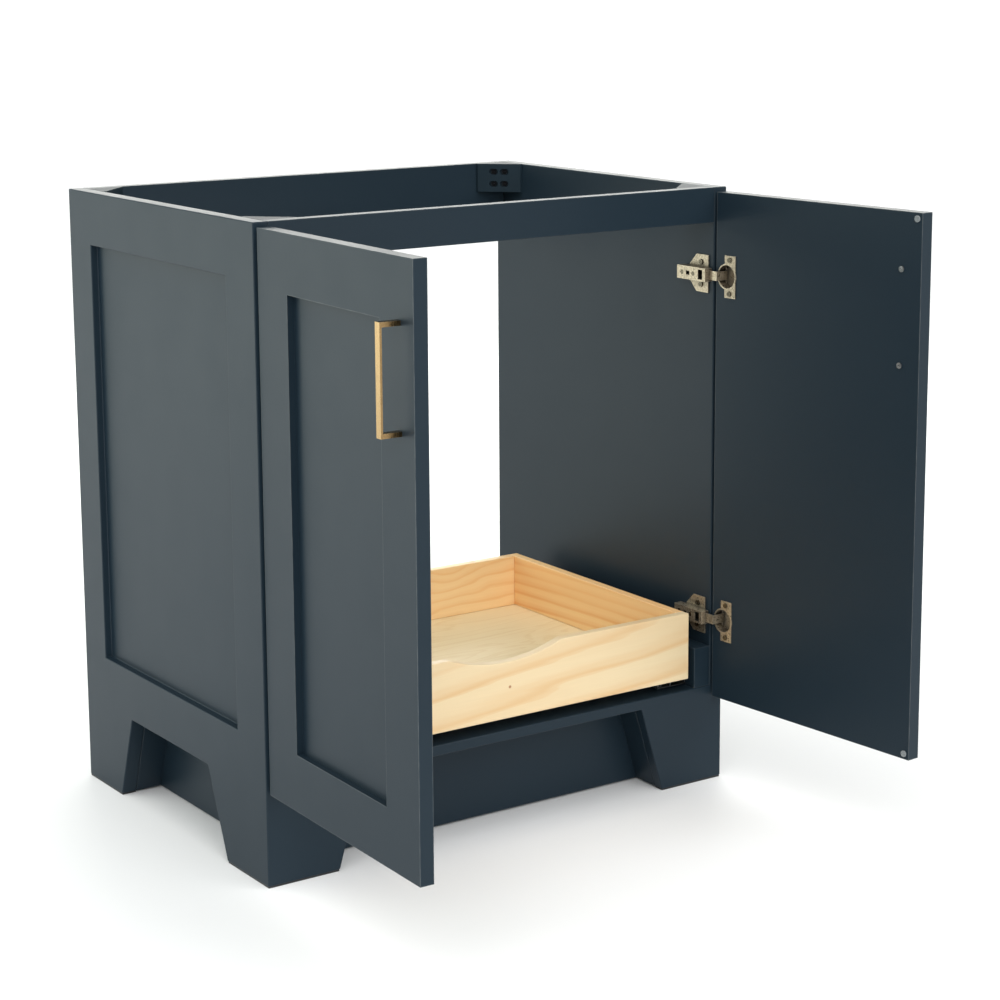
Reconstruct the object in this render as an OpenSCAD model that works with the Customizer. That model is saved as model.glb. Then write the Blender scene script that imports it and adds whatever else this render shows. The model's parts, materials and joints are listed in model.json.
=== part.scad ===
// Freestanding vanity base cabinet with two doors on concealed hinges and one pull-out drawer.
// Millimetres, +Z up. The origin is on the floor, at the middle of the cabinet's back; the front faces -Y.

/* [Cabinet] */
// Overall width across the two sides
body_w = 762; // [700:1:920]
// Overall depth from the front edges to the back
body_d = 546; // [530:1:600]
// Overall height from the floor to the top edges
body_h = 876; // [860:1:900]
// Thickness of the sides
side_t = 22; // [20:0.5:24]
// Thickness of the boards between the sides
board_t = 18; // [15:0.5:20]
// Thickness of the cabinet floor
floor_t = 15; // [12:0.5:18]
// Height of the front top rail
front_rail_h = 50; // [40:1:60]
// Height of the rear top rail
rear_rail_h = 100; // [70:1:130]

/* [Side frames] */
// Width of the front stile and of the top rail of each side
stile_w = 76; // [60:1:90]
// Width of the rear stile of each side
rear_stile_w = 68; // [60:1:90]
// Depth of the recessed field in each side
side_recess = 10.5; // [6:0.5:12]
// Height of the lower edge of the recessed field
side_field_z = 198; // [180:1:220]

/* [Feet] */
// Clear height under the cabinet floor
leg_h = 129.5; // [120:0.5:135]
// Height of the cut-out in each side
side_cut_h = 124.5; // [100:0.5:128]
// Width of a front foot on the floor
front_foot_w = 109; // [90:1:130]
// How far a front foot leans outwards from floor to top
front_foot_lean = 38; // [20:1:50]
// Length of a side's front foot on the floor
side_foot_front = 114; // [100:1:130]
// How far a side's front foot leans
side_front_lean = 50; // [30:1:60]
// Length of a side's rear foot on the floor
side_foot_rear = 108; // [100:1:130]
// How far a side's rear foot leans
side_rear_lean = 41; // [30:1:60]
// Set-back of the toe boards from the outer faces
toe_setback = 62; // [50:1:75]
// Thickness of the toe boards
toe_board_t = 15; // [12:0.5:18]
// Thickness of the slanted boards that close the feet
return_t = 12; // [8:0.5:15]
// Thickness of the floor pads
pad_t = 2.5; // [1.5:0.5:4]

/* [Doors] */
// Thickness of the doors
door_t = 19; // [18:0.5:20]
// Height of the doors' lower edge
door_bottom_z = 130; // [120:1:140]
// Height of the doors' upper edge
door_top_z = 870; // [850:1:874]
// Uncovered side edge beside a closed door
door_reveal = 2; // [1.5:0.5:3]
// Gap between the two closed doors
door_centre_gap = 2; // [2:0.5:5]
// Gap between a closed door and the cabinet front
door_back_gap = 3.4; // [3.4:0.1:3.6]
// Width of the door stiles and rails
door_frame_w = 76; // [60:1:90]
// Depth of the recessed field in each door
door_recess = 9.5; // [6:0.5:11]
// Angle at which the left door stands open
left_open_angle = 91.5; // [0:0.5:100]
// Angle at which the right door stands open
right_open_angle = 95; // [0:0.5:100]

/* [Hinges] */
// Height of a hinge's centre from the end of the door
hinge_inset = 118.5; // [90:0.5:160]
// Radius of the hinge cup
cup_r = 17.5; // [17.5:0.5:17.5]
// Depth of the hinge cup
cup_depth = 14; // [14:0.1:14.4]
// Radius of the pin in the cup
cup_pin_r = 1.2; // [1.1:0.05:1.25]

/* [Handles] */
// Distance between the two handle screws
handle_centres = 128; // [96:32:160]
// Height of the handle's centre
handle_z = 730; // [600:1:760]
// Distance from the handle to the door's free edge
handle_inset = 33; // [30:1:46]
// Width of the handle's bar and posts across the door
handle_w = 10; // [6:0.5:12]
// Thickness of the handle's bar, off the door's face
handle_t = 3; // [2:0.5:8]
// Height of the handle's posts
handle_post = 6; // [6:0.5:10]
// Projection of the handle from the door
handle_reach = 28; // [25:1:35]

/* [Drawer] */
// Overall width of the drawer box
drawer_w = 644; // [560:1:644]
// Overall depth of the drawer box
drawer_d = 439; // [400:1:450]
// Height of the drawer box
drawer_h = 99; // [80:1:120]
// Height of the drawer box's lower edge
drawer_z = 160; // [159:0.5:162]
// Thickness of the drawer's walls
drawer_wall = 14; // [12:0.5:15]
// Width of the scoop in the drawer front
scoop_w = 188; // [120:1:240]
// Depth of the scoop in the drawer front
scoop_depth = 18; // [10:1:30]

/* [Hidden] */
$fn = 64;

left = -1;
right = 1;
front_y = -body_d;
outer_x = -body_w / 2;
inner_x = outer_x + side_t;
floor_top = leg_h + floor_t;
fit = 0.05;                 // radial clearance of screws and running pins

paint = [0.19, 0.25, 0.30];
pine = [0.91, 0.80, 0.60];
ply = [0.93, 0.85, 0.68];
brass = [0.76, 0.60, 0.30];
nickel = [0.78, 0.74, 0.66];
zinc = [0.70, 0.71, 0.72];
dark_steel = [0.12, 0.12, 0.13];
black_plastic = [0.06, 0.06, 0.07];
clear_plastic = [0.80, 0.82, 0.82];

// Corner braces
brace_leg = 52;
brace_end = 4;
brace_h = 44;
brace_screw_r = 2;
brace_head_r = 4;
brace_head_depth = 5;
brace_screw_across = 17;
brace_screw_up = 19;

// Door leaf, drawn closed on the left and then opened about the cup pin
door_edge_x = outer_x + door_reveal;
door_w = body_w / 2 - door_reveal - door_centre_gap / 2;
door_inner_y = front_y - door_back_gap;
door_outer_y = door_inner_y - door_t;
door_h = door_top_z - door_bottom_z;
handle_x = door_edge_x + door_w - handle_inset;
handle_screw_r = 2;
bumper_r = 4.5;
bumper_t = 2.2;
bumper_inset = 8;

// Hinges
pivot_x = door_edge_x + 8.8;
pivot_y = front_y - 14.4;
hinge_zs = [door_bottom_z + hinge_inset, door_top_z - hinge_inset];
cup_x = door_edge_x + 21.5;
cup_wall = 0.8;
cup_floor_t = 0.6;
rim_r = 18.5;
rim_t = 1;
flange_x0 = door_edge_x + 18;
flange_w = 21;
flange_h = 60;
flange_t = 1.5;
cup_screw_x = door_edge_x + 27.5;
cup_screw_spacing = 48;
cup_screw_r = 1.8;
arm_w = 19;
arm_wall = 1.5;
arm_back_y = front_y + 64;
arm_front_y = front_y + 1;
arm_top_x = inner_x + 15.5;
arm_base_x = inner_x + 2.6;
nose_half = 6.5;
nose_t = 2.4;
arm_screw_ys = [front_y + 28, front_y + 53];
arm_screw_r = 3.5;
plate_t = 2.2;
plate_screw_y = front_y + 26;
plate_screw_spacing = 32;

// Drawer and its undermount slides, seen from the left
drawer_front_y = front_y + 3;
drawer_back_y = drawer_front_y + drawer_d;
drawer_x = -drawer_w / 2;
drawer_inner_x = drawer_x + drawer_wall;
drawer_bottom_z = drawer_z + 13;
drawer_bottom_t = 6;
groove = 5;
block_w = 28;
block_h = 60;
block_len = 460;
block_face_x = inner_x + block_w;
slide_y = front_y + 22;
slide_len = 426;
middle_slide_len = 417;
drawer_slide_y = drawer_front_y + drawer_wall + 2;
drawer_slide_len = drawer_d - 2 * drawer_wall - 4;
slide_z = floor_top + 2;
sheet = 1.5;
track_x = drawer_inner_x + 2;
track_w = 24;
clip_x = track_x + track_w + 2;
clip_w = 26;
clip_y = drawer_front_y + drawer_wall + 1;
clip_len = 44;
clip_z = drawer_z + 1.5;
lever_t = 3;
lever_gap = 0.5;
lever_pin_r = 2;
lever_pin_x = clip_x + clip_w / 2;
lever_pin_y = clip_y + clip_len - 8;

// --- helpers -------------------------------------------------------------------------------------

// Draws its children on the left, or mirrored on the right
module on_side(side) {
    if (side == right)
        mirror([1, 0, 0]) children();
    else
        children();
}

// A box from its lowest to its highest corner
module block(low, high) {
    translate(low) cube(high - low);
}

// An outline of (y, z) points, extruded along X
module along_x(x0, x1, outline) {
    translate([x0, 0, 0]) rotate([90, 0, 90]) linear_extrude(x1 - x0) polygon(outline);
}

// An outline of (x, z) points, extruded along Y
module along_y(y0, y1, outline) {
    translate([0, y1, 0]) rotate([90, 0, 0]) linear_extrude(y1 - y0) polygon(outline);
}

// A round bar from y0 to y1
module bar_y(x, z, r, y0, y1) {
    translate([x, y1, z]) rotate([90, 0, 0]) cylinder(h = y1 - y0, r = r);
}

// A round bar from x0 to x1
module bar_x(y, z, r, x0, x1) {
    translate([x0, y, z]) rotate([0, 90, 0]) cylinder(h = x1 - x0, r = r);
}

// Swings a closed door's children open about the cup pin
module opened(side) {
    angle = side == left ? left_open_angle : right_open_angle;
    on_side(side)
        translate([pivot_x, pivot_y, 0]) rotate([0, 0, -angle]) translate([-pivot_x, -pivot_y, 0])
            children();
}

// --- sides ---------------------------------------------------------------------------------------

module side_stiles(side) {
    color(paint) on_side(side) {
        block([outer_x, front_y, pad_t], [inner_x, front_y + stile_w, body_h]);
        block([outer_x, -rear_stile_w, pad_t], [inner_x, 0, body_h]);
    }
}

module side_rails(side) {
    y0 = front_y + stile_w;
    y1 = -rear_stile_w;
    color(paint) on_side(side) {
        block([outer_x, y0, body_h - stile_w + 1], [inner_x, y1, body_h]);
        along_x(outer_x, inner_x, [
            [y0, pad_t], [front_y + side_foot_front, pad_t],
            [front_y + side_foot_front + side_front_lean, side_cut_h],
            [-side_foot_rear - side_rear_lean, side_cut_h],
            [-side_foot_rear, pad_t], [y1, pad_t],
            [y1, side_field_z], [y0, side_field_z]
        ]);
    }
}

module side_panel(side) {
    color(paint) on_side(side)
        block([outer_x + side_recess, front_y + stile_w, side_field_z],
              [inner_x, -rear_stile_w, body_h - stile_w + 1]);
}

// --- base ----------------------------------------------------------------------------------------

module cabinet_floor() {
    color(paint) block([inner_x, front_y, leg_h], [-inner_x, 0, floor_top]);
}

module front_foot_boards() {
    foot_x = outer_x + front_foot_w;
    color(paint) for (side = [left, right]) on_side(side)
        along_y(front_y, front_y + board_t, [
            [inner_x, pad_t], [foot_x, pad_t], [foot_x + front_foot_lean, leg_h], [inner_x, leg_h]
        ]);
}

module rear_base_board() {
    color(paint) block([inner_x, -board_t, pad_t], [-inner_x, 0, leg_h]);
}

// The slanted boards that run back from each foot's edge to the toe boards
module foot_return_boards() {
    foot_x = outer_x + front_foot_w;
    front_foot = front_y + side_foot_front;
    front_lean = side_front_lean * (leg_h - pad_t) / (side_cut_h - pad_t);
    rear_lean = side_rear_lean * (leg_h - pad_t) / (side_cut_h - pad_t);
    color(paint) for (side = [left, right]) on_side(side) {
        along_y(front_y + board_t, front_y + toe_setback, [
            [foot_x - return_t, pad_t], [foot_x, pad_t],
            [foot_x + front_foot_lean, leg_h], [foot_x + front_foot_lean - return_t, leg_h]
        ]);
        along_x(inner_x, outer_x + toe_setback, [
            [front_foot - return_t, pad_t], [front_foot, pad_t],
            [front_foot + front_lean, leg_h], [front_foot + front_lean - return_t, leg_h]
        ]);
        along_x(inner_x, outer_x + toe_setback, [
            [-side_foot_rear, pad_t], [-side_foot_rear + return_t, pad_t],
            [-side_foot_rear - rear_lean + return_t, leg_h], [-side_foot_rear - rear_lean, leg_h]
        ]);
    }
}

module front_toe_board() {
    x = outer_x + toe_setback;
    y = front_y + toe_setback;
    color(paint) block([x, y, pad_t], [-x, y + toe_board_t, leg_h]);
}

module side_toe_board(side) {
    x = outer_x + toe_setback;
    color(paint) on_side(side)
        block([x, front_y + toe_setback + toe_board_t, pad_t], [x + toe_board_t, -board_t, leg_h]);
}

// Two corner pads under the front feet and one long pad under the back
module floor_pads() {
    inset = 1;
    foot_x = outer_x + front_foot_w - inset;
    x0 = outer_x + inset;
    y0 = front_y + inset;
    color(black_plastic) {
        for (side = [left, right]) on_side(side) linear_extrude(pad_t) polygon([
            [x0, y0], [foot_x, y0], [foot_x, front_y + board_t], [inner_x, front_y + board_t],
            [inner_x, front_y + side_foot_front - inset], [x0, front_y + side_foot_front - inset]
        ]);
        linear_extrude(pad_t) polygon([
            [x0, 0], [x0, -side_foot_rear + inset], [inner_x, -side_foot_rear + inset], [inner_x, -board_t],
            [-inner_x, -board_t], [-inner_x, -side_foot_rear + inset], [-x0, -side_foot_rear + inset], [-x0, 0]
        ]);
    }
}

// --- top rails and braces ------------------------------------------------------------------------

module front_top_rail() {
    color(paint) block([inner_x, front_y, body_h - front_rail_h], [-inner_x, front_y + board_t, body_h]);
}

module rear_top_rail() {
    color(paint) block([inner_x, -board_t, body_h - rear_rail_h], [-inner_x, 0, body_h]);
}

// Moves its children from a corner at the origin, opening towards +X and +Y, into a corner of the cabinet
module in_corner(side, rear) {
    on_side(side)
        translate([inner_x, rear ? -board_t : front_y + board_t, body_h - brace_h])
            if (rear) mirror([0, 1, 0]) children(); else children();
}

// Places its children at a brace's four screws, with +Z running into the corner
module at_brace_screws() {
    middle = (brace_leg + brace_end) / 2;
    for (across = [-1, 1], up = [-1, 1])
        translate([middle, middle, brace_h / 2 + up * brace_screw_up / 2])
            rotate([0, 0, 45]) translate([0, across * brace_screw_across / 2, 0])
                rotate([0, -90, 0]) children();
}

module corner_brace(side, rear) {
    slot_r = brace_head_r + 0.6;
    slot_reach = 2.4;
    color(paint) in_corner(side, rear) difference() {
        linear_extrude(brace_h) polygon([
            [0, 0], [brace_leg, 0], [brace_leg, brace_end], [brace_end, brace_leg], [0, brace_leg]
        ]);
        at_brace_screws() translate([0, 0, -1]) {
            for (along = [-1, 1])
                translate([0, along * slot_reach, 0]) cylinder(h = brace_head_depth + 1, r = slot_r);
            translate([-slot_r, -slot_reach, 0]) cube([2 * slot_r, 2 * slot_reach, brace_head_depth + 1]);
            cylinder(h = brace_leg, r = brace_screw_r + fit);
        }
    }
}

module brace_screws() {
    head_t = 2;
    shank = 20;
    color(dark_steel) for (side = [left, right], rear = [false, true])
        in_corner(side, rear) at_brace_screws() {
            translate([0, 0, brace_head_depth - head_t]) cylinder(h = head_t, r = brace_head_r);
            translate([0, 0, brace_head_depth]) cylinder(h = shank - brace_head_depth, r = brace_screw_r);
        }
}

// --- drawer slides -------------------------------------------------------------------------------

module slide_block(side) {
    color(paint) on_side(side)
        block([inner_x, front_y + 1, floor_top], [block_face_x, front_y + block_len, floor_top + block_h]);
}

// Bent sheet: a flange on the block, a web under the drawer and a lip beside the track
module fixed_slide(side) {
    flange_h = 40;
    lip_x = track_x + track_w + 0.5;
    color(zinc) on_side(side)
        along_y(slide_y, slide_y + slide_len, [
            [block_face_x, slide_z], [lip_x + sheet, slide_z], [lip_x + sheet, slide_z + 9],
            [lip_x, slide_z + 9], [lip_x, slide_z + sheet], [block_face_x + sheet, slide_z + sheet],
            [block_face_x + sheet, slide_z + flange_h], [block_face_x, slide_z + flange_h]
        ]);
}

// An inverted channel: outer left edge, width, lower and upper height
module channel(x, w, z0, z1, y0, y1) {
    along_y(y0, y1, [
        [x, z0], [x, z1], [x + w, z1], [x + w, z0],
        [x + w - sheet, z0], [x + w - sheet, z1 - sheet], [x + sheet, z1 - sheet], [x + sheet, z0]
    ]);
}

module middle_slide(side) {
    color(zinc) on_side(side)
        channel(track_x + 2.5, track_w - 5, slide_z + 2.2, drawer_bottom_z - sheet - 1,
                drawer_slide_y + 2, drawer_slide_y + 2 + middle_slide_len);
}

module drawer_slide(side) {
    color(zinc) on_side(side)
        channel(track_x, track_w, slide_z + 10, drawer_bottom_z, drawer_slide_y, drawer_slide_y + drawer_slide_len);
}

// --- drawer box ----------------------------------------------------------------------------------

module drawer_front() {
    scoop_r = (pow(scoop_w / 2, 2) + pow(scoop_depth, 2)) / (2 * scoop_depth);
    top = drawer_z + drawer_h;
    color(pine) difference() {
        block([drawer_x, drawer_front_y, drawer_z], [-drawer_x, drawer_front_y + drawer_wall, top]);
        translate([0, 0, top - scoop_depth + scoop_r]) rotate([90, 0, 0])
            translate([0, 0, -drawer_front_y - drawer_wall - 1]) cylinder(h = drawer_wall + 2, r = scoop_r, $fn = 256);
        block([drawer_inner_x - groove, drawer_front_y + drawer_wall - groove, drawer_bottom_z],
              [-drawer_inner_x + groove, drawer_front_y + drawer_wall + 1, drawer_bottom_z + drawer_bottom_t]);
    }
}

module drawer_side(side) {
    color(pine) on_side(side) difference() {
        block([drawer_x, drawer_front_y + drawer_wall, drawer_z], [drawer_inner_x, drawer_back_y, drawer_z + drawer_h]);
        block([drawer_inner_x - groove, drawer_front_y, drawer_bottom_z],
              [drawer_inner_x + 1, drawer_back_y + 1, drawer_bottom_z + drawer_bottom_t]);
    }
}

module drawer_back() {
    color(pine) block([drawer_inner_x, drawer_back_y - drawer_wall, drawer_bottom_z + drawer_bottom_t],
                      [-drawer_inner_x, drawer_back_y, drawer_z + drawer_h]);
}

module drawer_bottom() {
    color(ply) block([drawer_inner_x - groove, drawer_front_y + drawer_wall - groove, drawer_bottom_z],
                     [-drawer_inner_x + groove, drawer_back_y, drawer_bottom_z + drawer_bottom_t]);
}

// The clips that lock the drawer to its slides; each carries a pin for its release lever
module drawer_clip_housings() {
    color(black_plastic) for (side = [left, right]) on_side(side) {
        block([clip_x, clip_y, clip_z], [clip_x + clip_w, clip_y + clip_len, drawer_bottom_z]);
        translate([lever_pin_x, lever_pin_y, clip_z - lever_gap - lever_t - 0.3])
            cylinder(h = lever_t + lever_gap + 1, r = lever_pin_r);
    }
}

module release_lever(side) {
    color(nickel) on_side(side) difference() {
        block([clip_x + 5, clip_y + 2, clip_z - lever_gap - lever_t],
              [clip_x + clip_w - 5, clip_y + clip_len - 2, clip_z - lever_gap]);
        translate([lever_pin_x, lever_pin_y, clip_z - 10]) cylinder(h = 20, r = lever_pin_r + fit);
    }
}

// --- hinges --------------------------------------------------------------------------------------

module hinge_plates(side) {
    core_y0 = front_y + 17;
    core_len = 45;
    core_half = arm_w / 2 - arm_wall - 0.3;
    color(nickel) on_side(side) for (z = hinge_zs) difference() {
        union() {
            along_x(inner_x, inner_x + plate_t, [
                [front_y + 10, z - 27], [front_y + 36, z - 27], [front_y + 52, z - 11],
                [front_y + 52, z + 11], [front_y + 36, z + 27], [front_y + 10, z + 27]
            ]);
            block([inner_x, core_y0, z - core_half], [inner_x + 6, core_y0 + core_len, z + core_half]);
        }
        for (up = [-1, 1])
            bar_x(plate_screw_y, z + up * plate_screw_spacing / 2, 2 + fit, inner_x - 1, inner_x + plate_t + 1);
    }
}

// Channel-shaped arm with a curved nose that reaches into the cup and turns on its pin
module hinge_arms(side) {
    nose_y = pivot_y - cup_pin_r - 1;
    nose_x = inner_x + 5.5;
    color(nickel) on_side(side) for (z = hinge_zs) {
        difference() {
            union() {
                difference() {
                    block([arm_base_x, arm_front_y, z - arm_w / 2], [arm_top_x, arm_back_y, z + arm_w / 2]);
                    block([arm_base_x - 1, arm_front_y + 5, z - arm_w / 2 + arm_wall],
                          [arm_top_x - 2, arm_back_y + 1, z + arm_w / 2 - arm_wall]);
                }
                translate([0, 0, z - nose_half]) linear_extrude(2 * nose_half) polygon([
                    [nose_x + 3, arm_front_y + 1], [nose_x + 3, nose_y],
                    [pivot_x, nose_y], [pivot_x, nose_y + nose_t],
                    [nose_x, nose_y + nose_t], [nose_x, arm_front_y + 1]
                ]);
                translate([pivot_x, pivot_y, z - nose_half]) cylinder(h = 2 * nose_half, r = cup_pin_r + 1);
            }
            translate([pivot_x, pivot_y, z - arm_w]) cylinder(h = 2 * arm_w, r = cup_pin_r + fit);
            for (y = arm_screw_ys)
                bar_x(y, z, arm_screw_r + fit, arm_top_x - 3, arm_top_x + 1);
            block([arm_top_x - 3, front_y + 7, z - 7], [arm_top_x + 1, front_y + 17, z + 7]);
            block([arm_top_x - 3, front_y + 36, z - 3], [arm_top_x + 1, front_y + 44, z + 3]);
        }
    }
}

// The screws that hold each mounting plate, and the two adjusting screws in each arm
module hinge_plate_screws() {
    head_t = 1.8;
    color(zinc) for (side = [left, right]) on_side(side) for (z = hinge_zs) {
        for (up = [-1, 1])
            bar_x(plate_screw_y, z + up * plate_screw_spacing / 2, 4,
                  inner_x + plate_t, inner_x + plate_t + head_t);
        for (y = arm_screw_ys)
            bar_x(y, z, arm_screw_r, inner_x + 6.3, arm_top_x - 0.4);
    }
}

module hinge_cups(side) {
    cavity = cup_depth - cup_floor_t;
    color(nickel) opened(side) for (z = hinge_zs) {
        difference() {
            union() {
                bar_y(cup_x, z, cup_r, door_inner_y - cup_depth, door_inner_y);
                bar_y(cup_x, z, rim_r, door_inner_y, door_inner_y + rim_t);
                block([flange_x0, door_inner_y, z - flange_h / 2],
                      [flange_x0 + flange_w, door_inner_y + flange_t, z + flange_h / 2]);
            }
            bar_y(cup_x, z, cup_r - cup_wall, door_inner_y - cavity, door_inner_y + flange_t + 1);
            for (up = [-1, 1])
                bar_y(cup_screw_x, z + up * cup_screw_spacing / 2, cup_screw_r + fit,
                      door_inner_y - 1, door_inner_y + flange_t + 1);
        }
        intersection() {
            translate([pivot_x, pivot_y, z - cup_r]) cylinder(h = 2 * cup_r, r = cup_pin_r);
            bar_y(cup_x, z, cup_r - cup_wall / 2, door_inner_y - cup_depth, door_inner_y);
        }
    }
}

module cup_screws(side) {
    head_t = 1.6;
    shank = 13;
    color(zinc) opened(side) for (z = hinge_zs, up = [-1, 1]) {
        screw_z = z + up * cup_screw_spacing / 2;
        bar_y(cup_screw_x, screw_z, 3.6, door_inner_y + flange_t, door_inner_y + flange_t + head_t);
        bar_y(cup_screw_x, screw_z, cup_screw_r, door_inner_y - shank, door_inner_y + flange_t);
    }
}

// --- doors ---------------------------------------------------------------------------------------

module door_stiles(side) {
    x1 = door_edge_x + door_w;
    color(paint) opened(side) {
        difference() {
            block([door_edge_x, door_outer_y, door_bottom_z],
                  [door_edge_x + door_frame_w, door_inner_y, door_top_z]);
            for (z = hinge_zs) {
                bar_y(cup_x, z, cup_r + fit, door_inner_y - cup_depth - 0.1, door_inner_y + 1);
                for (up = [-1, 1])
                    bar_y(cup_screw_x, z + up * cup_screw_spacing / 2, cup_screw_r + fit,
                          door_inner_y - 13.2, door_inner_y + 1);
            }
        }
        difference() {
            block([x1 - door_frame_w, door_outer_y, door_bottom_z], [x1, door_inner_y, door_top_z]);
            for (up = [-1, 1])
                bar_y(handle_x, handle_z + up * handle_centres / 2, handle_screw_r + fit,
                      door_outer_y - 1, door_inner_y + 1);
        }
    }
}

module door_rails(side) {
    x0 = door_edge_x + door_frame_w;
    x1 = door_edge_x + door_w - door_frame_w;
    color(paint) opened(side) {
        block([x0, door_outer_y, door_bottom_z], [x1, door_inner_y, door_bottom_z + door_frame_w]);
        block([x0, door_outer_y, door_top_z - door_frame_w], [x1, door_inner_y, door_top_z]);
    }
}

module door_panel(side) {
    x0 = door_edge_x + door_frame_w;
    x1 = door_edge_x + door_w - door_frame_w;
    color(paint) opened(side)
        block([x0, door_outer_y + door_recess, door_bottom_z + door_frame_w],
              [x1, door_inner_y, door_top_z - door_frame_w]);
}

// Flat bar with a post at each end, tapped for its screws
module door_handle(side) {
    side_x = handle_x - handle_w / 2;
    half = handle_post / 2;
    bar_y0 = door_outer_y - handle_reach;
    color(brass) opened(side) difference() {
        union() {
            block([side_x, bar_y0, handle_z - handle_centres / 2 - half],
                  [side_x + handle_w, bar_y0 + handle_t, handle_z + handle_centres / 2 + half]);
            for (up = [-1, 1])
                translate([side_x, bar_y0, handle_z + up * handle_centres / 2 - half])
                    cube([handle_w, handle_reach, handle_post]);
        }
        for (up = [-1, 1])
            bar_y(handle_x, handle_z + up * handle_centres / 2, handle_screw_r + fit,
                  door_outer_y - 12, door_outer_y + 1);
    }
}

module handle_screws(side) {
    head_r = 4;
    head_t = 1.8;
    color(zinc) opened(side) for (up = [-1, 1]) {
        z = handle_z + up * handle_centres / 2;
        bar_y(handle_x, z, head_r, door_inner_y, door_inner_y + head_t);
        bar_y(handle_x, z, handle_screw_r, door_outer_y - 11, door_inner_y);
    }
}

module door_bumpers(side) {
    x = door_edge_x + door_w - bumper_inset;
    color(clear_plastic) opened(side) for (z = [door_bottom_z + bumper_inset, door_top_z - bumper_inset])
        bar_y(x, z, bumper_r, door_inner_y, door_inner_y + bumper_t);
}

side_stiles(left);  // left_side_stiles
side_rails(left);  // left_side_rails
side_panel(left);  // left_side_panel
side_stiles(right);  // right_side_stiles
side_rails(right);  // right_side_rails
side_panel(right);  // right_side_panel
cabinet_floor();
front_foot_boards();
rear_base_board();
foot_return_boards();
front_toe_board();
side_toe_board(left);  // left_toe_board
side_toe_board(right);  // right_toe_board
floor_pads();
front_top_rail();
rear_top_rail();
corner_brace(left, false);  // left_front_brace
corner_brace(right, false);  // right_front_brace
corner_brace(left, true);  // left_rear_brace
corner_brace(right, true);  // right_rear_brace
brace_screws();
slide_block(left);  // left_slide_block
slide_block(right);  // right_slide_block
fixed_slide(left);  // left_fixed_slide
fixed_slide(right);  // right_fixed_slide
hinge_plates(left);  // left_hinge_plates
hinge_plates(right);  // right_hinge_plates
hinge_arms(left);  // left_hinge_arms
hinge_arms(right);  // right_hinge_arms
hinge_plate_screws();
door_stiles(left);  // left_door_stiles
door_rails(left);  // left_door_rails
door_panel(left);  // left_door_panel
door_handle(left);  // left_door_handle
handle_screws(left);  // left_handle_screws
hinge_cups(left);  // left_hinge_cups
cup_screws(left);  // left_cup_screws
door_bumpers(left);  // left_door_bumpers
door_stiles(right);  // right_door_stiles
door_rails(right);  // right_door_rails
door_panel(right);  // right_door_panel
door_handle(right);  // right_door_handle
handle_screws(right);  // right_handle_screws
hinge_cups(right);  // right_hinge_cups
cup_screws(right);  // right_cup_screws
door_bumpers(right);  // right_door_bumpers
middle_slide(left);  // left_middle_slide
middle_slide(right);  // right_middle_slide
drawer_front();
drawer_back();
drawer_side(left);  // drawer_left_side
drawer_side(right);  // drawer_right_side
drawer_bottom();
drawer_slide(left);  // left_drawer_slide
drawer_slide(right);  // right_drawer_slide
drawer_clip_housings();
release_lever(left);  // left_release_lever
release_lever(right);  // right_release_lever
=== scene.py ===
import json
import math

import bmesh
import bpy
from mathutils import Matrix, Vector


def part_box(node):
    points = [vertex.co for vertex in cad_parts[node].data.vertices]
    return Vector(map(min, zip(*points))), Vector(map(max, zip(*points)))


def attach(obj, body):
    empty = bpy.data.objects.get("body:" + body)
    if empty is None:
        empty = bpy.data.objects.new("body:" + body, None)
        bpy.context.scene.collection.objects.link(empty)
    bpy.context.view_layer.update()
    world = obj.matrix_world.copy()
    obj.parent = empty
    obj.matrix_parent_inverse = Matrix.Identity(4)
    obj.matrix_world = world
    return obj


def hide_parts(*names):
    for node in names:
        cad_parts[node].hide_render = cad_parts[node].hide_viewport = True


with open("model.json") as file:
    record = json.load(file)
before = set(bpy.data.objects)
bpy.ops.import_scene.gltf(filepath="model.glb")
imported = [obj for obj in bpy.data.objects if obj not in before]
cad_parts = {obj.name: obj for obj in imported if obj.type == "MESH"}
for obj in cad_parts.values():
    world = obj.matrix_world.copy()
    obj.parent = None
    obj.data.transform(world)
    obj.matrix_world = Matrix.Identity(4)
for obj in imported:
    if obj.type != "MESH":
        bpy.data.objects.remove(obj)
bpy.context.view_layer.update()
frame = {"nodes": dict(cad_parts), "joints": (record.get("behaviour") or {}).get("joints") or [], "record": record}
scene = bpy.context.scene
nodes = frame["nodes"]


# --- shader helpers -----------------------------------------------------------------------------------

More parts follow.
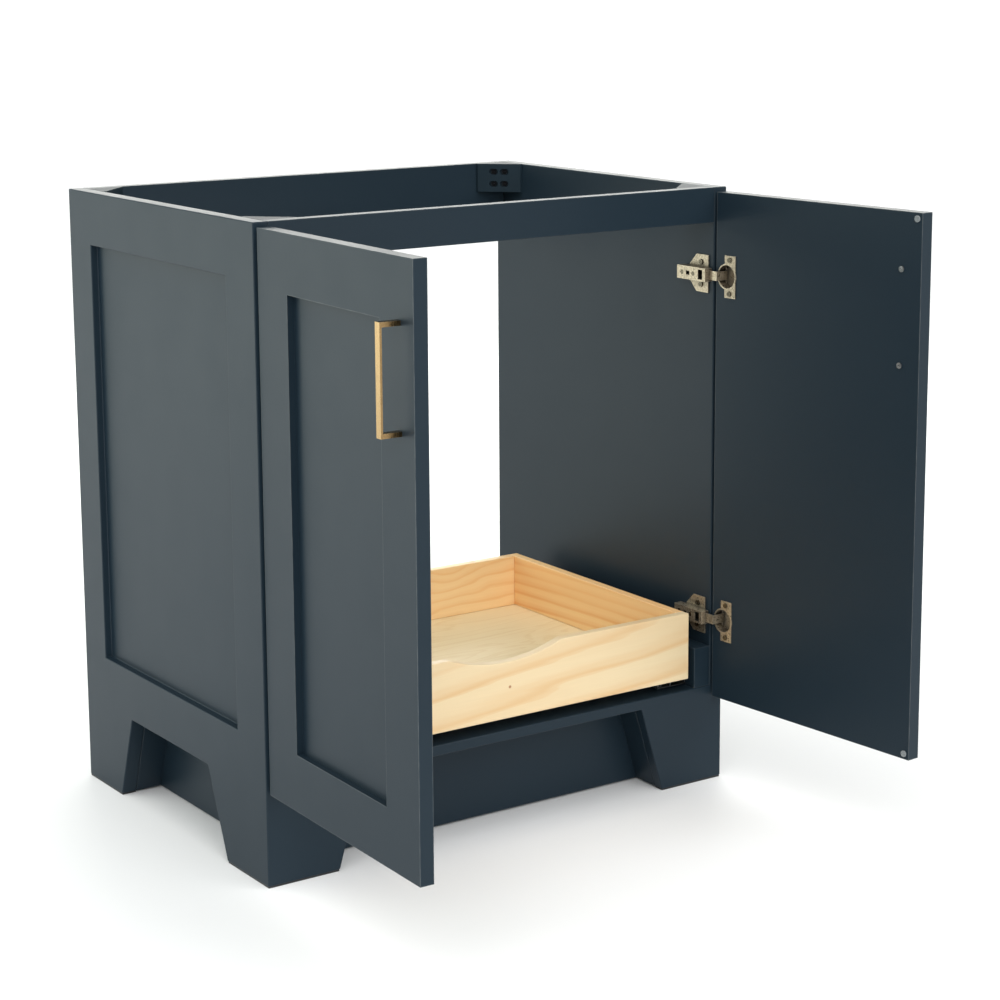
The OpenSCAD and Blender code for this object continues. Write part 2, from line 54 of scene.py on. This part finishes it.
class Graph:
    """A material's node tree, with one short call for each kind of node that the materials use."""

    def __init__(self, name):
        self.material = bpy.data.materials.new(name)
        self.material.use_nodes = True
        self.tree = self.material.node_tree
        self.shader = self.tree.nodes["Principled BSDF"]
        self.place = self.tree.nodes.new("ShaderNodeTexCoord").outputs["Object"]

    def link(self, value, socket):
        if isinstance(value, bpy.types.NodeSocket):
            self.tree.links.new(value, socket)
        else:
            socket.default_value = value

    def node(self, kind, **settings):
        made = self.tree.nodes.new(kind)
        for key, value in settings.items():
            setattr(made, key, value)
        return made

    def moved(self, vector, scale=(1, 1, 1), turn=(0, 0, 0), shift=(0, 0, 0)):
        made = self.node("ShaderNodeMapping")
        self.link(vector, made.inputs["Vector"])
        made.inputs["Location"].default_value = shift
        made.inputs["Rotation"].default_value = [math.radians(a) for a in turn]
        made.inputs["Scale"].default_value = scale
        return made.outputs["Vector"]

    def noise(self, vector, scale, detail=2.0, rough=0.5, distortion=0.0, out="Fac"):
        made = self.node("ShaderNodeTexNoise")
        self.link(vector, made.inputs["Vector"])
        made.inputs["Scale"].default_value = scale
        made.inputs["Detail"].default_value = detail
        made.inputs["Roughness"].default_value = rough
        made.inputs["Distortion"].default_value = distortion
        return made.outputs[out]

    def maths(self, operation, a, b=0.0, clamp=False):
        made = self.node("ShaderNodeMath", operation=operation, use_clamp=clamp)
        self.link(a, made.inputs[0])
        self.link(b, made.inputs[1])
        return made.outputs[0]

    def vectors(self, operation, a, b=(0, 0, 0), scale=1.0):
        made = self.node("ShaderNodeVectorMath", operation=operation)
        self.link(a, made.inputs[0])
        if operation == "SCALE":
            self.link(scale, made.inputs["Scale"])
        elif operation != "LENGTH":
            self.link(b, made.inputs[1])
        return made.outputs["Value" if operation in ("LENGTH", "DOT_PRODUCT") else "Vector"]

    def ramp(self, value, *stops, ease="LINEAR"):
        """Colour stops as (position, (r, g, b)) or (position, grey)."""
        made = self.node("ShaderNodeValToRGB")
        made.color_ramp.interpolation = ease
        cells = made.color_ramp.elements
        while len(cells) < len(stops):
            cells.new(0.5)
        for cell, (position, colour) in zip(cells, stops):
            cell.position = position
            cell.color = (*colour, 1) if isinstance(colour, tuple) else (colour, colour, colour, 1)
        self.link(value, made.inputs["Fac"])
        return made.outputs["Color"]

    def spread(self, value, low, high, to_low, to_high):
        made = self.node("ShaderNodeMapRange")
        self.link(value, made.inputs["Value"])
        for key, number in (("From Min", low), ("From Max", high), ("To Min", to_low), ("To Max", to_high)):
            made.inputs[key].default_value = number
        return made.outputs["Result"]

    def mix(self, share, a, b, blend="MIX"):
        made = self.node("ShaderNodeMix", data_type="RGBA", blend_type=blend)
        self.link(share, made.inputs["Factor"])
        self.link((*a, 1) if isinstance(a, tuple) else a, made.inputs["A"])
        self.link((*b, 1) if isinstance(b, tuple) else b, made.inputs["B"])
        return made.outputs["Result"]

    def bump(self, height, depth, strength=1.0, under=None):
        made = self.node("ShaderNodeBump")
        made.inputs["Strength"].default_value = strength
        made.inputs["Distance"].default_value = depth
        self.link(height, made.inputs["Height"])
        if under is not None:
            self.link(under, made.inputs["Normal"])
        return made.outputs["Normal"]

    def edges(self, reach):
        """1 along the outward corners and 0 on flat faces, from how thin the solid is under the surface."""
        inside = self.node("ShaderNodeAmbientOcclusion", samples=8, inside=True, only_local=True)
        inside.inputs["Distance"].default_value = reach
        return self.spread(inside.outputs["AO"], 0.90, 0.50, 0.0, 1.0)

    def finish(self, colour, rough, normal=None, **fixed):
        self.link(colour, self.shader.inputs["Base Color"])
        self.link(rough, self.shader.inputs["Roughness"])
        if normal is not None:
            self.link(normal, self.shader.inputs["Normal"])
        for key, value in fixed.items():
            self.shader.inputs[key.replace("_", " ")].default_value = value
        return self.material


def lighter(colour, by):
    return tuple(min(1.0, c * by) for c in colour)


# --- materials ----------------------------------------------------------------------------------------

PAINT = (0.0120, 0.0230, 0.0335)


def paint(name, colour=PAINT, rough=0.40):
    """Sprayed satin lacquer: faint cloudiness, orange peel, and a painted highlight that lightens the outward
    edges.
    """
    g = Graph(name)
    clouds = g.noise(g.place, 4.0, 3.0)
    tone = g.mix(clouds, lighter(colour, 0.96), lighter(colour, 1.04))
    # painted highlight: the outward edges are mixed towards a light grey, in place of the reflection along the
    # rounded arrises
    edge_highlight = g.maths("MULTIPLY", g.edges(0.0014), g.spread(g.noise(g.place, 60.0, 3.0), 0.35, 0.7, 0.40, 0.85))
    tone = g.mix(edge_highlight, tone, (0.130, 0.145, 0.150))
    sheen = g.spread(g.noise(g.place, 18.0, 2.0), 0.3, 0.7, rough - 0.012, rough + 0.015)
    peel = g.bump(g.noise(g.place, 420.0, 1.5), 0.0004, 0.10)
    fine = g.bump(g.noise(g.place, 2600.0, 1.0), 0.00008, 0.25, peel)
    return g.finish(tone, sheen, fine, Specular_IOR_Level=0.18)


def pine(name, grain, seed, light, dark, tilt, rings, sway, wave, lines, knot=None):
    """Clear-coated pine cut from a log that lies along the grain axis, so faces and ends agree.

    seed also places the log's centre, tilt turns the log off the board, rings is the number of year rings
    in a metre, sway and wave bend the rings, lines says how strongly the late wood shows, and knot is the
    place of a small dark knot.
    """
    g = Graph(name)
    along = g.moved(g.place, turn={"x": (0, 0, 0), "y": (0, 0, 90)}[grain])
    drift = g.noise(g.moved(along, wave, shift=seed), 1.0, 2.0, 0.45, out="Color")
    drift = g.vectors("SCALE", g.vectors("SUBTRACT", drift, (0.5, 0.5, 0.5)), scale=sway)
    log = g.vectors("ADD", g.moved(along, turn=(0, *tilt), shift=(0, *seed[1:])), drift)
    distance = g.vectors("LENGTH", g.vectors("MULTIPLY", log, (0, 1, 1)))
    fibre = g.noise(g.moved(along, (14.0, 900.0, 900.0)), 1.0, 3.0, 0.6)
    uneven = g.noise(g.moved(along, (2.0, 26.0, 26.0), shift=seed), 1.0, 3.0, 0.55)
    ring = g.maths("ADD", g.maths("MULTIPLY", distance, rings), g.maths("MULTIPLY", uneven, 1.1))
    ring = g.maths("FRACT", ring)
    late = g.ramp(ring, (0.0, 0.05), (0.30, 0.0), (0.62, 0.42), (0.84, 1.0), (0.95, 0.55), (1.0, 0.05),
                  ease="EASE")
    patches = g.noise(g.moved(along, (1.6, 18.0, 18.0), shift=seed), 1.0, 2.0)
    strength = g.spread(patches, 0.35, 0.65, 0.25, lines)
    colour = g.mix(g.maths("MULTIPLY", late, strength, True), light, dark)
    broad = g.noise(g.moved(along, (1.2, 9.0, 9.0), shift=seed), 1.0, 2.0)
    colour = g.mix(g.spread(broad, 0.35, 0.65, 0.0, 0.30), colour, dark)
    colour = g.mix(g.spread(fibre, 0.3, 0.75, 0.0, 0.20), colour, lighter(light, 0.82))
    if knot is not None:
        near = g.vectors("LENGTH", g.vectors("SUBTRACT", g.place, knot))
        colour = g.mix(g.spread(near, 0.0012, 0.0028, 0.85, 0.0), colour, (0.36, 0.12, 0.04))
    # painted highlight: the outward edges are mixed towards pale cream
    colour = g.mix(g.spread(g.edges(0.0016), 0, 1, 0, 0.75), colour, (0.96, 0.86, 0.67))
    rough = g.spread(fibre, 0.3, 0.7, 0.34, 0.48)
    grain_bump = g.bump(fibre, 0.00012, 0.35)
    ring_bump = g.bump(late, 0.00010, 0.30, grain_bump)
    return g.finish(colour, rough, ring_bump, Coat_Weight=0.08, Coat_Roughness=0.35, Specular_IOR_Level=0.30)


def plywood(name):
    """Rotary-cut face veneer, pale with a slow figure, and glued layers on the cut edges."""
    g = Graph(name)
    figure = g.noise(g.moved(g.place, (2.2, 11.0, 2.0)), 1.0, 3.0, 0.5, 1.6)
    waves = g.maths("FRACT", g.maths("MULTIPLY", figure, 7.0))
    lines = g.ramp(waves, (0.0, 0.0), (0.55, 0.10), (0.86, 0.55), (1.0, 0.0), ease="EASE")
    fibre = g.noise(g.moved(g.place, (20.0, 700.0, 700.0)), 1.0, 2.0)
    colour = g.mix(lines, (0.80, 0.66, 0.41), (0.71, 0.54, 0.29))
    colour = g.mix(g.spread(fibre, 0.35, 0.7, 0.0, 0.25), colour, (0.70, 0.55, 0.32))
    height = g.node("ShaderNodeSeparateXYZ")
    g.link(g.place, height.inputs[0])
    plies = g.maths("FRACT", g.maths("MULTIPLY", height.outputs["Z"], 700.0))
    normal = g.node("ShaderNodeSeparateXYZ")
    g.link(g.node("ShaderNodeNewGeometry").outputs["Normal"], normal.inputs[0])
    on_edge = g.spread(g.maths("ABSOLUTE", normal.outputs["Z"]), 0.5, 0.2, 0.0, 0.8)
    dark_ply = g.maths("MULTIPLY", on_edge, g.maths("GREATER_THAN", plies, 0.5))
    colour = g.mix(dark_ply, colour, (0.48, 0.30, 0.14))
    return g.finish(colour, g.spread(fibre, 0.3, 0.7, 0.38, 0.5), g.bump(fibre, 0.0001, 0.3),
                    Specular_IOR_Level=0.25)


def metal(name, colour, worn, rough, brushed=(1, 1, 1), cells=240.0, smudges=110.0, uneven=0.80,
          metallic=1.0):
    """Plated or brushed metal: streaks or grain in the roughness, painted shade darkening the nooks, and brighter
    rubbed edges.
    """
    g = Graph(name)
    streaks = g.noise(g.moved(g.place, brushed), cells, 3.0, 0.6)
    smudge = g.noise(g.place, smudges, 4.0, 0.65)
    tone = g.mix(g.spread(smudge, 0.3, 0.7, 0.0, 1.0), lighter(colour, uneven), colour)
    # painted shade: the colour darkens to near black where other surfaces are close, in hollows and around screws
    painted_shade = g.node("ShaderNodeAmbientOcclusion", samples=6)
    painted_shade.inputs["Distance"].default_value = 0.020
    tone = g.mix(g.spread(painted_shade.outputs["AO"], 0.35, 0.88, 0.92, 0.0), tone, lighter(colour, 0.08))
    tone = g.mix(g.spread(g.edges(0.0007), 0, 1, 0, 0.6), tone, worn)
    sheen = g.maths("ADD", g.spread(streaks, 0.3, 0.7, rough - 0.05, rough + 0.07),
                    g.spread(smudge, 0.35, 0.7, -0.03, 0.05))
    return g.finish(tone, sheen, g.bump(streaks, 0.00005, 0.3), Metallic=metallic)


def plastic(name, colour, rough, clear=0.0, shine=0.5):
    """Moulded plastic with a fine spark-eroded texture."""
    g = Graph(name)
    cloud = g.noise(g.place, 30.0, 2.0)
    tone = g.mix(cloud, lighter(colour, 0.9), lighter(colour, 1.12))
    # painted highlight: the outward edges are mixed towards a lighter colour
    tone = g.mix(g.spread(g.edges(0.0008), 0, 1, 0, 0.5), tone, lighter(colour, 1.6))
    grain = g.noise(g.place, 1900.0, 2.0)
    return g.finish(tone, g.spread(grain, 0.3, 0.7, rough - 0.05, rough + 0.05), g.bump(grain, 0.00008, 0.4),
                    Transmission_Weight=clear, Specular_IOR_Level=shine)


SLATE = paint("slate_paint")
BRACE = plastic("brace_plastic", (0.0100, 0.0205, 0.0290), 0.50, shine=0.15)
NICKEL = metal("nickel_plate", (0.52, 0.435, 0.315), (0.74, 0.66, 0.52), 0.30,
               smudges=330.0, uneven=0.42, metallic=0.68)
SCREW = metal("screw_steel", (0.10, 0.085, 0.060), (0.50, 0.45, 0.36), 0.24)
ZINC = metal("zinc_steel", (0.56, 0.57, 0.58), (0.86, 0.87, 0.88), 0.34, cells=420.0)
DARK_STEEL = metal("dark_steel", (0.016, 0.018, 0.021), (0.10, 0.10, 0.11), 0.42, cells=420.0)
BRASS = metal("brushed_brass", (0.37, 0.240, 0.110), (0.55, 0.40, 0.21), 0.27,
              brushed=(1, 1, 0.02), cells=1500.0)
BLACK = plastic("black_plastic", (0.012, 0.012, 0.013), 0.45)
BUMPER = plastic("clear_bumper", (0.34, 0.37, 0.38), 0.25, clear=0.4)
PLY = plywood("bottom_plywood")
front_low, front_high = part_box("drawer_front")
PIN_KNOT = (0.006, front_low.y, front_low.z + 0.045)
PINE = {
    "drawer_front": pine("pine_front", "x", (0.4, 0.536, -0.470), (0.80, 0.64, 0.40), (0.70, 0.42, 0.18),
                         (8.0, 1.0), 25.0, 0.050, (1.6, 3.0, 3.0), 0.70, PIN_KNOT),
    "drawer_back": pine("pine_back", "x", (2.7, 0.110, -0.360), (0.96, 0.70, 0.38), (0.84, 0.46, 0.17),
                        (3.0, 1.0), 46.0, 0.110, (5.5, 7.0, 7.0), 0.90),
    "drawer_left_side": pine("pine_left", "y", (5.1, 0.300, -0.420), (0.94, 0.68, 0.36), (0.82, 0.40, 0.12),
                             (1.5, 1.0), 85.0, 0.030, (1.6, 4.0, 4.0), 0.9),
    "drawer_right_side": pine("pine_right", "y", (7.9, -0.300, -0.440), (0.96, 0.67, 0.34),
                              (0.80, 0.33, 0.08), (2.0, 1.0), 62.0, 0.030, (1.6, 4.0, 4.0), 0.95),
}
BY_SLOT = {
    "cabinet_paint": SLATE, "brace_plastic": BRACE, "plywood": PLY, "brass": BRASS, "nickel": NICKEL,
    "zinc_steel": ZINC, "dark_steel": DARK_STEEL, "black_plastic": BLACK, "clear_bumper": BUMPER,
}


# --- shapes -------------------------------------------------------------------------------------------

def mesh_of(node):
    """A CAD node's mesh with its split corners joined."""
    bm = bmesh.new()
    bm.from_mesh(nodes[node].data)
    bmesh.ops.remove_doubles(bm, verts=bm.verts, dist=1e-6)
    mesh = bpy.data.meshes.new(node + "_shape")
    bm.to_mesh(mesh)
    bm.free()
    return mesh


def placed(name, mesh):
    made = bpy.data.objects.new(name, mesh)
    scene.collection.objects.link(made)
    return made


def applied(piece):
    """Replaces the piece's mesh by what its modifiers make of it."""
    bpy.context.view_layer.update()
    made = bpy.data.meshes.new_from_object(piece.evaluated_get(bpy.context.evaluated_depsgraph_get()))
    piece.modifiers.clear()
    piece.data = made
    return piece


def finished(piece, body, material, width, parts, segments=2):
    """Joins split corners, eases the edges, and hands the piece to its body in place of the CAD parts."""
    bm = bmesh.new()
    bm.from_mesh(piece.data)
    bmesh.ops.remove_doubles(bm, verts=bm.verts, dist=2e-6)
    for face in bm.faces:
        face.smooth = True
    bm.to_mesh(piece.data)
    bm.free()
    ease_edges(piece, width, segments)
    piece.data.materials.clear()
    piece.data.materials.append(material)
    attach(piece, body)
    for part in parts:
        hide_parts(part)


def ease_edges(piece, width, segments=2, angle=30.0):
    """Rounds the sharp edges and keeps the flat faces flat."""
    flat = piece.modifiers.new("flatten", "DECIMATE")
    flat.decimate_type = "DISSOLVE"
    flat.angle_limit = math.radians(0.6)
    bevel = piece.modifiers.new("ease", "BEVEL")
    bevel.width = width
    bevel.segments = segments
    bevel.limit_method = "ANGLE"
    bevel.angle_limit = math.radians(angle)
    bevel.use_clamp_overlap = True
    even = piece.modifiers.new("even", "WEIGHTED_NORMAL")
    even.weight = 90
    even.keep_sharp = False


def fused(name, body, parts, material, width, stands=Matrix()):
    """One painted piece over boards that are glued flush: their union, with eased edges.

    stands is where a door stands. The union is made with the door closed and its corners rounded to
    0.01 mm, where the boards meet squarely.
    """
    meshes = [mesh_of(part) for part in parts]
    for mesh in meshes:
        mesh.transform(stands.inverted())
        for v in mesh.vertices:
            v.co = [round(c, 5) for c in v.co]
    piece = placed(name, meshes[0])
    tools = [placed(name + "_tool", m) for m in meshes[1:]]
    for tool in tools:
        join = piece.modifiers.new("join", "BOOLEAN")
        join.operation = "UNION"
        join.solver = "EXACT"
        join.object = tool
    applied(piece)
    piece.data.transform(stands)
    for tool in tools:
        bpy.data.objects.remove(tool)
    finished(piece, body, material, width, parts, segments=3)


def solids_of(mesh):
    """The corner points of every separate solid in a mesh."""
    bm = bmesh.new()
    bm.from_mesh(mesh)
    seen, found = set(), []
    for first in bm.verts:
        if first.index in seen:
            continue
        seen.add(first.index)
        grown, waiting = [], [first]
        while waiting:
            here = waiting.pop()
            grown.append(here.co.copy())
            for near in (link.other_vert(here) for link in here.link_edges):
                if near.index not in seen:
                    seen.add(near.index)
                    waiting.append(near)
        found.append(grown)
    bm.free()
    return found


def wide_end(points, toward):
    """Centre of a screw's outer end face; toward(centre) says which way its head looks."""
    centre = sum(points, Vector()) / len(points)
    out = toward(centre).normalized()
    top = max(p.dot(out) for p in points)
    rim = [p for p in points if p.dot(out) > top - 1e-5]
    return sum(rim, Vector()) / len(rim), out


def crossed_screws(node, body, material, toward, reach):
    """The screws with a cross recess cut into every head; reach is half the cross, in metres."""
    slot_half, slot_depth = 0.00042, 0.0012
    mesh = mesh_of(node)
    cuts = bmesh.new()
    for points in solids_of(mesh):
        top, out = wide_end(points, toward)
        side = out.orthogonal().normalized()
        other = out.cross(side)
        for along, across in ((side, other), (other, side)):
            for v in bmesh.ops.create_cube(cuts, size=2.0)["verts"]:
                a, b, c = v.co
                narrow = 0.5 if c < 0 else 1.0
                v.co = top + along * (a * reach * narrow) + across * (b * slot_half) + out * (c * slot_depth)
    bmesh.ops.recalc_face_normals(cuts, faces=cuts.faces)
    cutter = bpy.data.meshes.new(node + "_cuts")
    cuts.to_mesh(cutter)
    cuts.free()
    piece = placed(node + "_crossed", mesh)
    tool = placed(node + "_tool", cutter)
    cut = piece.modifiers.new("cut", "BOOLEAN")
    cut.operation = "DIFFERENCE"
    cut.solver = "EXACT"
    cut.use_self = True
    cut.object = tool
    finished(applied(piece), body, material, 0.0003, [node])
    bpy.data.objects.remove(tool)


def to_the_middle(point):
    """From a corner brace's screw towards the middle of the cabinet."""
    middle_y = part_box("cabinet_floor")[0].y / 2
    return Vector((-1 if point.x > 0 else 1, 1 if point.y < middle_y else -1, 0))


def off_the_side(point):
    """Square off the nearer side, towards the inside."""
    return Vector((-1 if point.x > 0 else 1, 0, 0))


PAINTED_EDGE = 0.0016
fused("carcass_painted", "carcass",
      [side + part for side in ("left", "right") for part in ("_side_stiles", "_side_rails", "_side_panel")]
      + ["cabinet_floor", "front_foot_boards"], SLATE, PAINTED_EDGE)
crossed_screws("brace_screws", "carcass", DARK_STEEL, to_the_middle, 0.0024)
crossed_screws("hinge_plate_screws", "carcass", SCREW, off_the_side, 0.0019)
for side in ("left", "right"):
    hinge = next(joint for joint in frame["joints"] if joint["name"] == side + "_door_hinge")
    closing = hinge["range_deg"][0]
    swing = Matrix.Rotation(math.radians(-closing), 4, Vector(hinge["axis"]))
    pivot = Matrix.Translation((*hinge["pos_m"][:2], 0))
    fused(side + "_door_painted", side + "_door",
          [side + "_door_stiles", side + "_door_rails", side + "_door_panel"],
          SLATE, PAINTED_EDGE, pivot @ swing @ pivot.inverted())
    inward = swing.to_3x3() @ Vector((0, 1, 0))
    for kind, look, reach in (("_handle_screws", ZINC, 0.0024), ("_cup_screws", SCREW, 0.0022)):
        crossed_screws(side + kind, side + "_door", look, lambda point: inward, reach)

EASE = {  # edge rounding of the CAD nodes that stay, in metres
    "cabinet_paint": 0.0007, "pine": 0.0014, "plywood": 0.0004, "brass": 0.0005, "nickel": 0.00025,
    "zinc_steel": 0.0002, "black_plastic": 0.0004, "clear_bumper": 0.0006, "brace_plastic": 0.0006,
}
slot_of = {s["node"]: s["material_slot"] for s in frame["record"]["subparts"]}
for name, cad in nodes.items():
    if cad.hide_render:
        continue
    weld = cad.modifiers.new("weld", "WELD")
    weld.merge_threshold = 1e-6
    ease_edges(cad, EASE[slot_of[name]])
    look = PINE[name] if name in PINE else BY_SLOT[slot_of[name]]
    for place in cad.material_slots:
        place.link = "OBJECT"
        place.material = look


# --- floor, light and camera --------------------------------------------------------------------------

def floor():
    half = 60.0
    mesh = bpy.data.meshes.new("studio_floor")
    corners = [(-half, -half, 0), (half, -half, 0), (half, half, 0), (-half, half, 0)]
    mesh.from_pydata(corners, [], [(0, 1, 2, 3)])
    made = placed("studio_floor", mesh)
    g = Graph("floor_white")
    tone = g.mix(g.noise(g.place, 2.0, 2.0), (0.90, 0.90, 0.90), (0.93, 0.93, 0.93))
    mesh.materials.append(g.finish(tone, 0.6, Specular_IOR_Level=0.2))


def softbox(name, place, aim, width, height, power, colour):
    """An area light that the camera does not see, only what it lights."""
    light = bpy.data.lights.new(name, "AREA")
    light.shape = "RECTANGLE"
    light.size = width
    light.size_y = height
    light.energy = power
    light.color = colour
    made = bpy.data.objects.new(name, light)
    scene.collection.objects.link(made)
    made.location = place
    made.rotation_mode = "QUATERNION"
    made.rotation_quaternion = (Vector(aim) - Vector(place)).to_track_quat("-Z", "Y")
    made.visible_camera = False


BRIGHT_WAY = (-0.45, 0.89, 0.0)


def surroundings(seen, behind, before):
    """A room that is bright behind and to the left of the object and dim before it.

    seen is the backdrop's strength for the camera; behind and before are the strengths that light the object.
    """
    world = bpy.data.worlds.new("studio")
    scene.world = world
    world.use_nodes = True
    tree = world.node_tree
    tree.nodes.clear()
    out = tree.nodes.new("ShaderNodeOutputWorld")
    pick = tree.nodes.new("ShaderNodeMixShader")
    ray = tree.nodes.new("ShaderNodeLightPath")
    way = tree.nodes.new("ShaderNodeTexCoord")
    facing = tree.nodes.new("ShaderNodeVectorMath")
    facing.operation = "DOT_PRODUCT"
    facing.inputs[1].default_value = BRIGHT_WAY
    fade = tree.nodes.new("ShaderNodeMapRange")
    fade.interpolation_type = "SMOOTHSTEP"
    for key, number in (("From Min", -0.35), ("From Max", 0.55), ("To Min", before), ("To Max", behind)):
        fade.inputs[key].default_value = number
    tree.links.new(way.outputs["Generated"], facing.inputs[0])
    tree.links.new(facing.outputs["Value"], fade.inputs["Value"])
    lit = tree.nodes.new("ShaderNodeBackground")
    lit.inputs["Color"].default_value = (0.94, 1.0, 0.97, 1)
    tree.links.new(fade.outputs["Result"], lit.inputs["Strength"])
    shown = tree.nodes.new("ShaderNodeBackground")
    shown.inputs["Color"].default_value = (1, 1, 1, 1)
    shown.inputs["Strength"].default_value = seen
    tree.links.new(lit.outputs[0], pick.inputs[1])
    tree.links.new(shown.outputs[0], pick.inputs[2])
    tree.links.new(ray.outputs["Is Camera Ray"], pick.inputs[0])
    tree.links.new(pick.outputs[0], out.inputs["Surface"])


def soft_sun(place, strength, spread):
    """A wide soft source far away, so that the whole floor is lit alike."""
    light = bpy.data.lights.new("overhead", "SUN")
    light.energy = strength
    light.angle = math.radians(spread)
    made = bpy.data.objects.new("overhead", light)
    scene.collection.objects.link(made)
    made.rotation_mode = "QUATERNION"
    made.rotation_quaternion = (-Vector(place)).to_track_quat("-Z", "Y")


def camera(place, azimuth, down, roll, lens, shift_y):
    """A camera that looks along the azimuth, turned from +Y towards +X, and down by an angle in degrees.

    lens is the focal length in millimetres before a sensor 36 mm wide.
    """
    az, el, tilt = math.radians(azimuth), math.radians(down), math.radians(roll)
    ahead = Vector((math.sin(az) * math.cos(el), math.cos(az) * math.cos(el), -math.sin(el)))
    right = ahead.cross(Vector((0, 0, 1))).normalized()
    up = right.cross(ahead)
    right, up = (right * math.cos(tilt) + up * math.sin(tilt), up * math.cos(tilt) - right * math.sin(tilt))
    data = bpy.data.cameras.new("camera")
    data.sensor_width = 36.0
    data.lens = lens
    data.shift_y = shift_y
    data.clip_end = 100.0
    made = bpy.data.objects.new("camera", data)
    scene.collection.objects.link(made)
    made.matrix_world = Matrix((
        (right.x, up.x, -ahead.x, place[0]),
        (right.y, up.y, -ahead.y, place[1]),
        (right.z, up.z, -ahead.z, place[2]),
        (0, 0, 0, 1)))
    scene.camera = made


floor()
surroundings(seen=1.0, behind=0.60, before=0.20)
soft_sun(place=(-0.15, -0.60, 0.80), strength=3.9, spread=100.0)
softbox("key_left", place=(-3.0, 2.2, 0.8), aim=(-0.3, -0.3, 0.4), width=2.6, height=2.2, power=42.0,
        colour=(0.90, 1.0, 0.88))
softbox("rim_right", place=(2.3, 3.0, 1.65), aim=(0.0, -0.3, 0.85), width=3.2, height=1.4, power=54.0,
        colour=(1.0, 0.99, 0.94))
camera(place=(-1.8123, -3.1903, 1.2070), azimuth=34.277, down=10.554, roll=-0.329, lens=86.936,
       shift_y=-0.1)
scene.view_settings.view_transform = "Standard"
